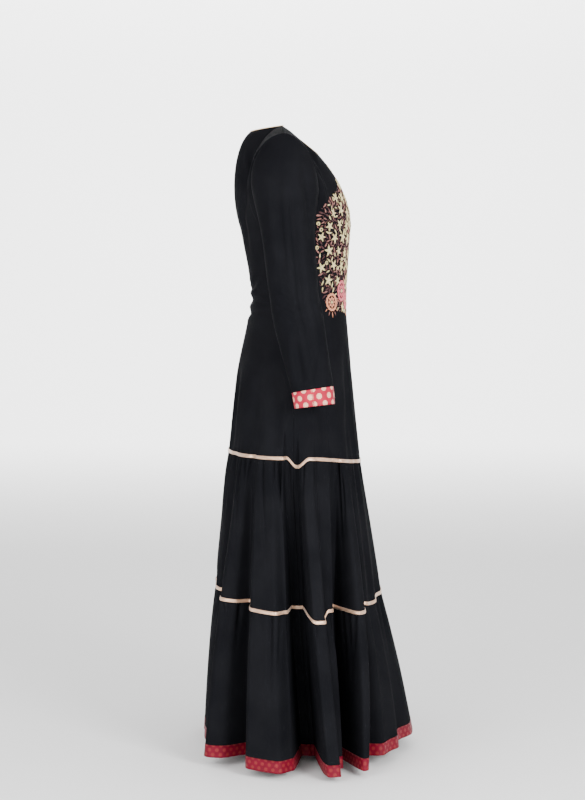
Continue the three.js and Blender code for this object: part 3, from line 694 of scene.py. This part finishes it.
UPPER = {}
for half, seed in (("front", 5), ("back", 6)):
    steps, grid = upper_grid(half)
    normal, _ = outward_normals(grid, away_from_axis(grid))
    depth = creases_in(grid, normal, CREASES_UPPER, UPPER_CREASE)
    place = steps[None, :] + QUARTER_STEPS
    above = grid[..., 2] - grid[-1:, :, 2]
    depth += gather_dips(place, above, 2 * QUARTER_STEPS, seed, depth=1.6, reach=(10, 26))
    depth += seam_groove(steps, seams_of(half))[None, :]
    grid = grid - normal * depth[..., None]
    UPPER[half] = (steps, grid, arc_uv(grid))

for node, half, first, last in (
    ("front_side_left", "front", -QUARTER_STEPS, -PRINCESS_STEP),
    ("front_centre", "front", -PRINCESS_STEP, PRINCESS_STEP),
    ("front_side_right", "front", PRINCESS_STEP, QUARTER_STEPS),
    ("back", "back", -QUARTER_STEPS, QUARTER_STEPS),
):
    steps, grid, uv = UPPER[half]
    inside = (steps > first - 1e-6) & (steps < last + 1e-6)
    cloth_piece(node, grid[:, inside], CLOTH, away_from_axis, CREPE, uv=uv[:, inside])

# ---- sleeves and cuffs ----
HEAD_LEVELS, ARM_LEVELS = 26, 76


def sleeve_grid(side):
    """Points from the armhole to the wrist; side is 1 on the left and -1 on the right."""
    turns = np.arange(0, 360, 5.0)
    rows = np.where(turns <= 180, turns, 360 - turns) / 30
    t = np.interp(rows, range(7), BODICE_ROWS)
    end = np.full(len(t), -float(QUARTER_STEPS))
    front, back = bodice_point("front", end, t), bodice_point("back", end, t)
    edge = np.where((turns <= 180)[:, None], front, back)

    def ring(z):
        """An ellipse square to the arm, and the way down the arm."""
        centre = np.array([read(SLEEVE, z, 1), read(SLEEVE, z, 2), z])
        step = 6.0
        high, low = min(z + step, SLEEVE[0, 0]), max(z - step, SLEEVE[-1, 0])
        lean = [read(SLEEVE, low, k) - read(SLEEVE, high, k) for k in (1, 2)]
        axis = np.array(lean + [low - high])
        axis /= np.linalg.norm(axis)
        outward = np.array([1, 0, 0]) - axis * axis[0]
        outward /= np.linalg.norm(outward)
        forward = np.cross(outward, axis)
        forward *= -np.sign(forward[1])
        a = np.radians(turns)[:, None]
        sideways, ahead = read(SLEEVE, z, 4) * np.cos(a), read(SLEEVE, z, 3) * np.sin(a)
        return centre + outward * sideways + forward * ahead, axis

    arm, axis = ring(SLEEVE[0, 0])
    out = np.stack([read(SLEEVE_HEAD, turns, k) for k in (1, 2, 3)], -1)
    arrive = arm - axis * read(SLEEVE_HEAD, turns, 4)[:, None]
    head = [bezier(edge, edge + out, arrive, arm, t) for t in np.linspace(0, 1, HEAD_LEVELS)]
    levels = np.linspace(SLEEVE[0, 0], SLEEVE[-1, 0], ARM_LEVELS)[1:]
    grid = np.array(head + [ring(z)[0] for z in levels])
    grid = smooth_rows(grid, 8)
    grid[..., 0] *= side
    return grid


for name, side in (("left", 1), ("right", -1)):
    grid = sleeve_grid(side)
    normal, _ = outward_normals(grid, away_from_centre(grid), closed=True)
    own = {name: CREASES_SLEEVE[name]}
    grid = grid - normal * creases_in(grid, normal, own, SLEEVE_CREASE)[..., None]
    grid[0] -= normal[0] * GROOVE
    wrist = int(np.argmin(np.abs(grid[:, 0, 2] - SLEEVE[-2, 0])))
    cloth_piece("sleeve_" + name, grid[:wrist + 1], CLOTH, away_from_centre, CREPE, True)
    cloth_piece("cuff_" + name, grid[wrist:], BROCADE, away_from_centre, CUFF_BROCADE, True)

# ---- tiers and the brocade border ----
def tier_grid(half, top, bottom, top_steps, fine, rows):
    """Points of half a tier. top_steps: gathers to a quarter; fine: columns to a gather."""
    shares = np.linspace(-1, 1, 2 * top_steps * fine + 1)
    upper = even_columns(half, shares, UPPER_MIDDLE)
    lower = even_columns(half, shares, LOWER_MIDDLE)
    z = top + (bottom - top) * rows
    blend = np.clip((UPPER_SEAM - z) / (UPPER_SEAM - LOWER_SEAM), 0, 1)[:, None]
    columns = upper + (lower - upper) * blend
    grid = body_point(columns, z[:, None])
    return shares, grid, z


def tier(node, half, top, bottom, steps, fine, seed):
    """Half a tier with gathers under its seam and small waves above its foot."""
    rows = np.r_[np.linspace(0, 0.3, 26), np.linspace(0.3, 1, 38)[1:]]
    shares, grid, z = tier_grid(half, top, bottom, steps, fine, rows)
    drop, rise = (top - z)[:, None], (z - bottom)[:, None]
    place = (shares[None, :] + 1) * steps
    depth = gather_dips(place, drop, 2 * steps, seed, depth=8.0, reach=(30, 120), spread=0.2)
    depth += gather_dips(place, rise, 2 * steps, seed + 40, depth=1.2, reach=(8, 24))
    depth += 0.5 * np.exp(-drop / 1.5)
    normal, _ = outward_normals(grid, away_from_axis(grid))
    grid = grid - normal * depth[..., None]
    cloth_piece(node, grid, CLOTH, away_from_axis, CREPE)


for half, seed in (("front", 11), ("back", 12)):
    tier("tier_upper_" + half, half, UPPER_SEAM, LOWER_SEAM, 16, 14, seed)
    tier("tier_lower_" + half, half, LOWER_SEAM, BORDER_SEAM, 22, 10, seed + 2)
    _, grid, _ = tier_grid(half, BORDER_SEAM, HEM, 22, 7, np.linspace(0, 1, 8))
    cloth_piece("hem_" + half, grid, BROCADE, away_from_axis, HEM_BROCADE)

# ---- embroidery ----
# The design is laid out flat: s runs round the front from the centre line and z goes up.
AXIS_Y, CHEST = -36, 149
LAYOUT_STEP = 4.0
S_KEYS, Z_KEYS = np.arange(-216, 217, LAYOUT_STEP), np.arange(-480, -71, LAYOUT_STEP)
# z, and how far the design reaches to each side
DESIGN_EDGE = np.array([
    (-430, 130), (-410, 158), (-385, 172), (-350, 178), (-300, 186), (-250, 190), (-205, 186),
    (-186, 172), (-168, 140), (-150, 96), (-133, 58), (-115, 36), (-88, 24),
], float)
# s, z, diameter, colour of the outer ring
ROSETTES = [
    (0, -394, 44, "coral"), (43, -404, 38, "pink"), (86, -380, 49, "pink"), (137, -405, 41, "coral"),
]
# count, free radius, and the lengths and colours to draw from; the first row is the scrolls
FILLING = [
    (22, 4.6, None, None),
    (210, 4.2, (10.5, 15), ("rose", "rose", "maroon", "cream")),
    (260, 2.6, (6, 8), ("maroon", "maroon", "rose")),
]
PETAL_BLUNT, PETAL_VEIN = 0.62, 0.35
LINE_SIDES = 6


def front_map():
    """Points and outward normals of the front cloth over the layout."""
    corners, faces = [], []
    for node in ("front_centre", "front_side_left", "front_side_right"):
        mesh = bpy.data.objects["cloth_" + node].data
        faces += [[v + len(corners) for v in p.vertices] for p in mesh.polygons]
        corners += [v.co / MM for v in mesh.vertices]
    tree = BVHTree.FromPolygons(corners, faces)
    points = np.zeros((len(Z_KEYS), len(S_KEYS), 3))
    for i, z in enumerate(Z_KEYS):
        for j, s in enumerate(S_KEYS):
            out = Vector((-math.sin(s / CHEST), -math.cos(s / CHEST), 0))
            hit = tree.ray_cast(Vector((0, AXIS_Y, z)) + out * 500, -out)[0]
            points[i, j] = hit if hit else points[i - 1, j]
    normal = np.cross(np.gradient(points, axis=1), np.gradient(points, axis=0))
    normal *= np.sign((normal * (points - [0, AXIS_Y, 0]))[..., :2].sum())
    return points, unit(normal)


FRONT_POINTS, FRONT_NORMALS = front_map()


def on_front(s, z, height):
    """Points of the layout on the cloth, raised by a height."""
    i = np.clip((z - Z_KEYS[0]) / LAYOUT_STEP, 0, len(Z_KEYS) - 1.001)
    j = np.clip((s - S_KEYS[0]) / LAYOUT_STEP, 0, len(S_KEYS) - 1.001)
    row, column = i.astype(int), j.astype(int)
    a, b = (i - row)[..., None], (j - column)[..., None]

    def blend(field):
        low = field[row, column] * (1 - b) + field[row, column + 1] * b
        high = field[row + 1, column] * (1 - b) + field[row + 1, column + 1] * b
        return low * (1 - a) + high * a

    return blend(FRONT_POINTS) + blend(FRONT_NORMALS) * height[..., None]


class Stitches:
    """Everything that is sewn in one colour."""

    def __init__(self):
        self.points, self.faces, self.uv, self.count = [], [], [], 0

    def patch(self, s, z, height, u, v, round_it=False):
        """Adds a grid of points; round_it joins its last column to the first."""
        s, z, height, u, v = np.broadcast_arrays(s, z, height, u, v)
        rows, columns = s.shape
        self.points.append(on_front(s, z, height).reshape(-1, 3))
        self.faces.append(grid_faces(rows, columns, round_it, self.count))
        self.uv.append(np.stack([u, v], -1).reshape(-1, 2))
        self.count += rows * columns


SEWN = {name: Stitches() for name in ("cream", "rose", "maroon", "pink", "coral")}


def turned(s, z, x, y, turn, flip=1):
    """Places x, y of a motif at s, z, turned and perhaps mirrored."""
    c, k = math.cos(turn), math.sin(turn)
    return flip * (s + x * c - y * k), z + x * k + y * c


def beside(s, z, turn, far):
    return s + far * math.cos(turn), z + far * math.sin(turn)


def petal(colour, s, z, turn, length, width, high):
    """A domed petal or leaf from its root at s, z, and its mirror image."""
    t, w = np.linspace(0.015, 0.985, 8)[:, None], np.linspace(-1, 1, 7)[None, :]
    half = width / 2 * np.sin(math.pi * t**PETAL_BLUNT) ** 0.85
    x, y = length * t + 0 * w, half * w
    dome = high * np.sin(math.pi * t) ** 0.5 * (1 - w**4)
    height = dome - PETAL_VEIN * np.exp(-(w / 0.2)**2) - 0.3 * np.abs(w)**3
    for flip in (1, -1):
        SEWN[colour].patch(*turned(s, z, x, y, turn, flip), height, x, y)


def knot(colour, s, z, radius, high):
    """A small dome, and its mirror image."""
    t, turns = np.linspace(0.02, 1, 5)[:, None], np.linspace(0, 2 * math.pi, 11)[None, :-1]
    x, y = radius * t * np.cos(turns), radius * t * np.sin(turns)
    for flip in (1, -1):
        place = turned(s, z, x, y, 0, flip)
        SEWN[colour].patch(*place, high * (1 - t**2.4) + 0 * x, x, y, True)


def line(colour, s, z, radius):
    """A corded line through points, and its mirror image."""
    along_s, along_z = np.gradient(s), np.gradient(z)
    length = np.hypot(along_s, along_z)
    turns = np.linspace(0, 2 * math.pi, LINE_SIDES + 1)[None, :-1]
    order = np.arange(len(s))
    taper = np.clip(np.minimum(order, order[::-1]) / 2 + 0.3, 0, 1)[:, None]
    across = radius * taper * np.cos(turns)
    height = radius * 0.6 + radius * taper * np.sin(turns)
    side_s = s[:, None] - (along_z / length)[:, None] * across
    side_z = z[:, None] + (along_s / length)[:, None] * across
    run = np.cumsum(length)[:, None]
    for flip in (1, -1):
        SEWN[colour].patch(flip * side_s, side_z, height, run, across, True)


def star_flower(s, z, turn, size):
    for k in range(5):
        petal("cream", s, z, turn + k * math.tau / 5, size / 2, size * 0.21, 1.6)
    knot("cream", s, z, size * 0.1, 2.4)


def scroll(s, z, turn, radius):
    a = np.linspace(0, 1.75 * math.tau, 26)
    r = radius * (1 - a / a[-1] * 0.62)
    line("cream", *turned(s, z, r * np.cos(a), r * np.sin(a), turn), 0.85)


def stem(start, end, bend):
    t = np.linspace(0, 1, 13)
    ds, dz = end[0] - start[0], end[1] - start[1]
    sway = bend * np.sin(math.pi * t)
    line("maroon", start[0] + ds * t - dz * sway, start[1] + dz * t + ds * sway, 0.6)


def rosette(s, z, size, colour):
    """A ring of radial stitches with scallops, petals inside it and a knot."""
    turns, w = np.linspace(0, math.tau, 97)[None, :-1], np.linspace(-1, 1, 7)[:, None]
    scallop = 1 + 0.035 * np.cos(14 * turns)
    radius = size / 2 * scallop * (0.86 + 0.14 * w)
    height = 2.2 * (1 - w**4) - 0.2 + 0 * turns
    for flip in (1, -1) if s else (1,):
        place = turned(s, z, radius * np.cos(turns), radius * np.sin(turns), 0, flip)
        SEWN[colour].patch(*place, height, turns * size / 2, w * size * 0.07, True)
    for k in range(8):
        turn = k * math.tau / 8
        root = beside(s, z, turn, size * 0.12)
        petal(colour, *root, turn, size * 0.21, size * 0.15, 1.6)
        petal("maroon", s, z, turn + math.tau / 16, size * 0.36, size * 0.06, 0.7)
    knot("cream", s, z, size * 0.09, 2.2)


def lay_out_design():
    """Sews flowers in rows, the rosettes, stems, and what fills the room between them."""
    rng = np.random.default_rng(21)
    taken = [(s, z, size / 2) for s, z, size, _ in ROSETTES]

    def free(s, z, radius):
        inside = 0 <= s + 1 and s < np.interp(z, DESIGN_EDGE[:, 0], DESIGN_EDGE[:, 1]) - radius
        clear = all(math.hypot(s - a, z - b) > radius + r for a, b, r in taken)
        return inside and clear and (s > radius * 0.9 or s < 0.5)

    flowers = []
    for row, z in enumerate(np.arange(-106, -420, -31.0)):
        for k in range(7):
            s = (k + 0.5 * (row % 2)) * 38.0
            jitter = rng.uniform(-4, 4, 2) if s else (0, rng.uniform(-3, 3))
            place, size = (s + jitter[0], z + jitter[1]), rng.uniform(23, 31)
            if free(*place, size * 0.36):
                flowers.append(place)
                taken.append((*place, size * 0.36))
                star_flower(*place, math.pi / 2 if s == 0 else rng.uniform(0, math.tau), size)
    for s, z, size, colour in ROSETTES:
        rosette(s, z, size, colour)
        for k in range(-2, 3):
            turn = -math.pi / 2 + 0.42 * k
            root, shade = beside(s, z, turn, size * 0.56), "rose" if k % 2 else "coral"
            petal(shade, *root, turn, 13 - 2 * abs(k), 2.6, 0.9)
    for i, (s, z) in enumerate(flowers):
        near = sorted(flowers[i + 1:], key=lambda other: math.dist(other, (s, z)))[:2]
        for other in near:
            if math.dist(other, (s, z)) < 48:
                stem((s, z), other, rng.choice((-1, 1)) * rng.uniform(0.1, 0.2))
    for count, radius, lengths, colours in FILLING:
        placed = 0
        for _ in range(count * 40):
            s, z = rng.uniform(0, 190), rng.uniform(-428, -90)
            if placed < count and free(s, z, radius):
                placed += 1
                taken.append((s, z, radius * 0.9))
                turn = rng.uniform(0, math.tau)
                if lengths is None:
                    scroll(s, z, turn, radius)
                else:
                    length = rng.uniform(*lengths)
                    colour, root = str(rng.choice(colours)), beside(s, z, turn, -length / 2)
                    petal(colour, *root, turn, length, length * 0.33, 1.1)


lay_out_design()
THREADS = {
    "cream": ((0.9, 0.8, 0.42, 1), (0.48, 0.37, 0.15, 1)),
    "rose": ((0.36, 0.16, 0.13, 1), (0.15, 0.045, 0.04, 1)),
    "maroon": ((0.075, 0.01, 0.013, 1), (0.03, 0.004, 0.006, 1)),
    "pink": ((0.8, 0.17, 0.2, 1), (0.5, 0.07, 0.1, 1)),
    "coral": ((0.85, 0.36, 0.2, 1), (0.55, 0.18, 0.09, 1)),
}
for name, (light, dark) in THREADS.items():
    sewn = SEWN[name]
    points, faces, uv = map(np.concatenate, (sewn.points, sewn.faces, sewn.uv))
    obj = make_mesh("embroidery_" + name, points, faces, uv=uv)
    dress(obj, None, thread("thread_" + name, light, dark))

# ---- piping ----
def band(name, ring, out, down, wide, thick, foot, material, node):
    """A closed band of rounded section along a ring of points."""
    turns = np.linspace(0, 2 * math.pi, 13)[:-1]
    across = np.cos(turns) * wide / 2
    lift = np.sin(turns)
    lift = foot + thick * (0.5 + 0.5 * np.sign(lift) * np.abs(lift) ** 0.7)
    points = ring[:, None] + down[:, None] * across[None, :, None]
    points = points + out[:, None] * lift[None, :, None]
    count, section = points.shape[:2]
    ids = np.arange(count * section).reshape(count, section)
    a, b = ids, np.roll(ids, -1, 1)
    c, d = np.roll(b, -1, 0), np.roll(ids, -1, 0)
    faces = np.stack([a, b, c, d], -1).reshape(-1, 4)
    run = run_along(ring)[:, None]
    uv = np.stack(np.broadcast_arrays(run, across[None, :]), -1).reshape(-1, 2)
    obj = make_mesh(name, points.reshape(-1, 3), faces, uv=uv)
    dress(obj, node, material)


def seam_frame(at, z):
    """Points round a seam, with the ways out of the cloth and down along it."""
    ring = body_point(at, z)
    down = body_point(at, z - 2) - body_point(at, z + 2)
    along = np.roll(ring, -1, 0) - np.roll(ring, 1, 0)
    out = np.cross(along, down)
    out *= np.sign((out * away_from_axis(ring)).sum())
    return ring, unit(out), unit(down)


def full_ring(z, count):
    shares = np.linspace(-1, 1, count + 1)[:-1]
    return np.r_[even_columns("front", shares, z), even_columns("back", shares, z)]


for name, z, count in (("upper", UPPER_SEAM, 260), ("lower", LOWER_SEAM, 340)):
    ring, out, down = seam_frame(full_ring(z, count), z)
    band("band_" + name, ring, out, down, 8.0, 1.7, 0.5, SATIN, "piping_" + name)

shares = np.linspace(-1, 1, 81)[:-1] * NECK_STEPS
front, back = top_edge(shares, "front"), top_edge(-shares, "back")
ring = np.concatenate([front, back])
below = np.concatenate([bodice_point("front", shares, 0.02), bodice_point("back", -shares, 0.02)])
down = unit(below - ring)
out = np.cross(np.roll(ring, -1, 0) - np.roll(ring, 1, 0), down)
out = unit(out * np.sign(out[:, 2:].sum()))
band("band_neck", ring - down * 3.0, out, down, 6.4, 2.8, -1.4, NECK_SATIN, "neck_piping")

# ---- stage and light ----
FLOOR, WALL, COVE = -1444, 10500, 2500  # the wall is farther off than any camera
WALL_TOP, STAGE_HALF = 9000, 14000


def stage_sheet():
    """The floor and the wall behind, with a round cove between them."""
    bend = [(WALL - COVE + COVE * math.sin(a), FLOOR + COVE * (1 - math.cos(a)))
            for a in np.linspace(0, math.pi / 2, 17)]
    profile = [(-STAGE_HALF, FLOOR)] + bend + [(WALL, WALL_TOP)]
    points = [(x, y, z) for x, z in profile for y in (-STAGE_HALF, STAGE_HALF)]
    rows = np.arange(len(profile) - 1) * 2
    faces = np.stack([rows, rows + 1, rows + 3, rows + 2], -1)
    sheet = make_mesh("floor", np.array(points, float), faces)
    g = Graph("floor", Base_Color=(0.9, 0.9, 0.9, 1), Roughness=0.95, Specular_IOR_Level=0.05)
    sheet.data.materials.append(g.material)


stage_sheet()
world = bpy.data.worlds.new("world")
bpy.context.scene.world = world
world.use_nodes = True
background = world.node_tree.nodes["Background"]
background.inputs["Color"].default_value = (1, 1, 1, 1)
background.inputs["Strength"].default_value = 1.15


def area_light(name, place, target, size, power):
    light = bpy.data.objects.new(name, bpy.data.lights.new(name, "AREA"))
    bpy.context.scene.collection.objects.link(light)
    light.data.shape = "RECTANGLE"
    light.data.size, light.data.size_y = size
    light.data.energy = power
    light.location = place
    light.rotation_euler = (Vector(target) - Vector(place)).to_track_quat("-Z", "Y").to_euler()


area_light("key_front", (-2.8, -1.7, 0.0), (0, 0, -0.7), (1.1, 1.1), 135)
area_light("key_back", (-2.8, 1.5, -0.3), (0, 0, -0.8), (1.6, 1.6), 90)
area_light("wall", (7.4, 0, 4.6), (10.5, 0, 2.4), (10.0, 1.6), 1700)
area_light("far_side", (2.4, -0.6, 1.6), (0, 0, -0.5), (2.4, 2.0), 12)
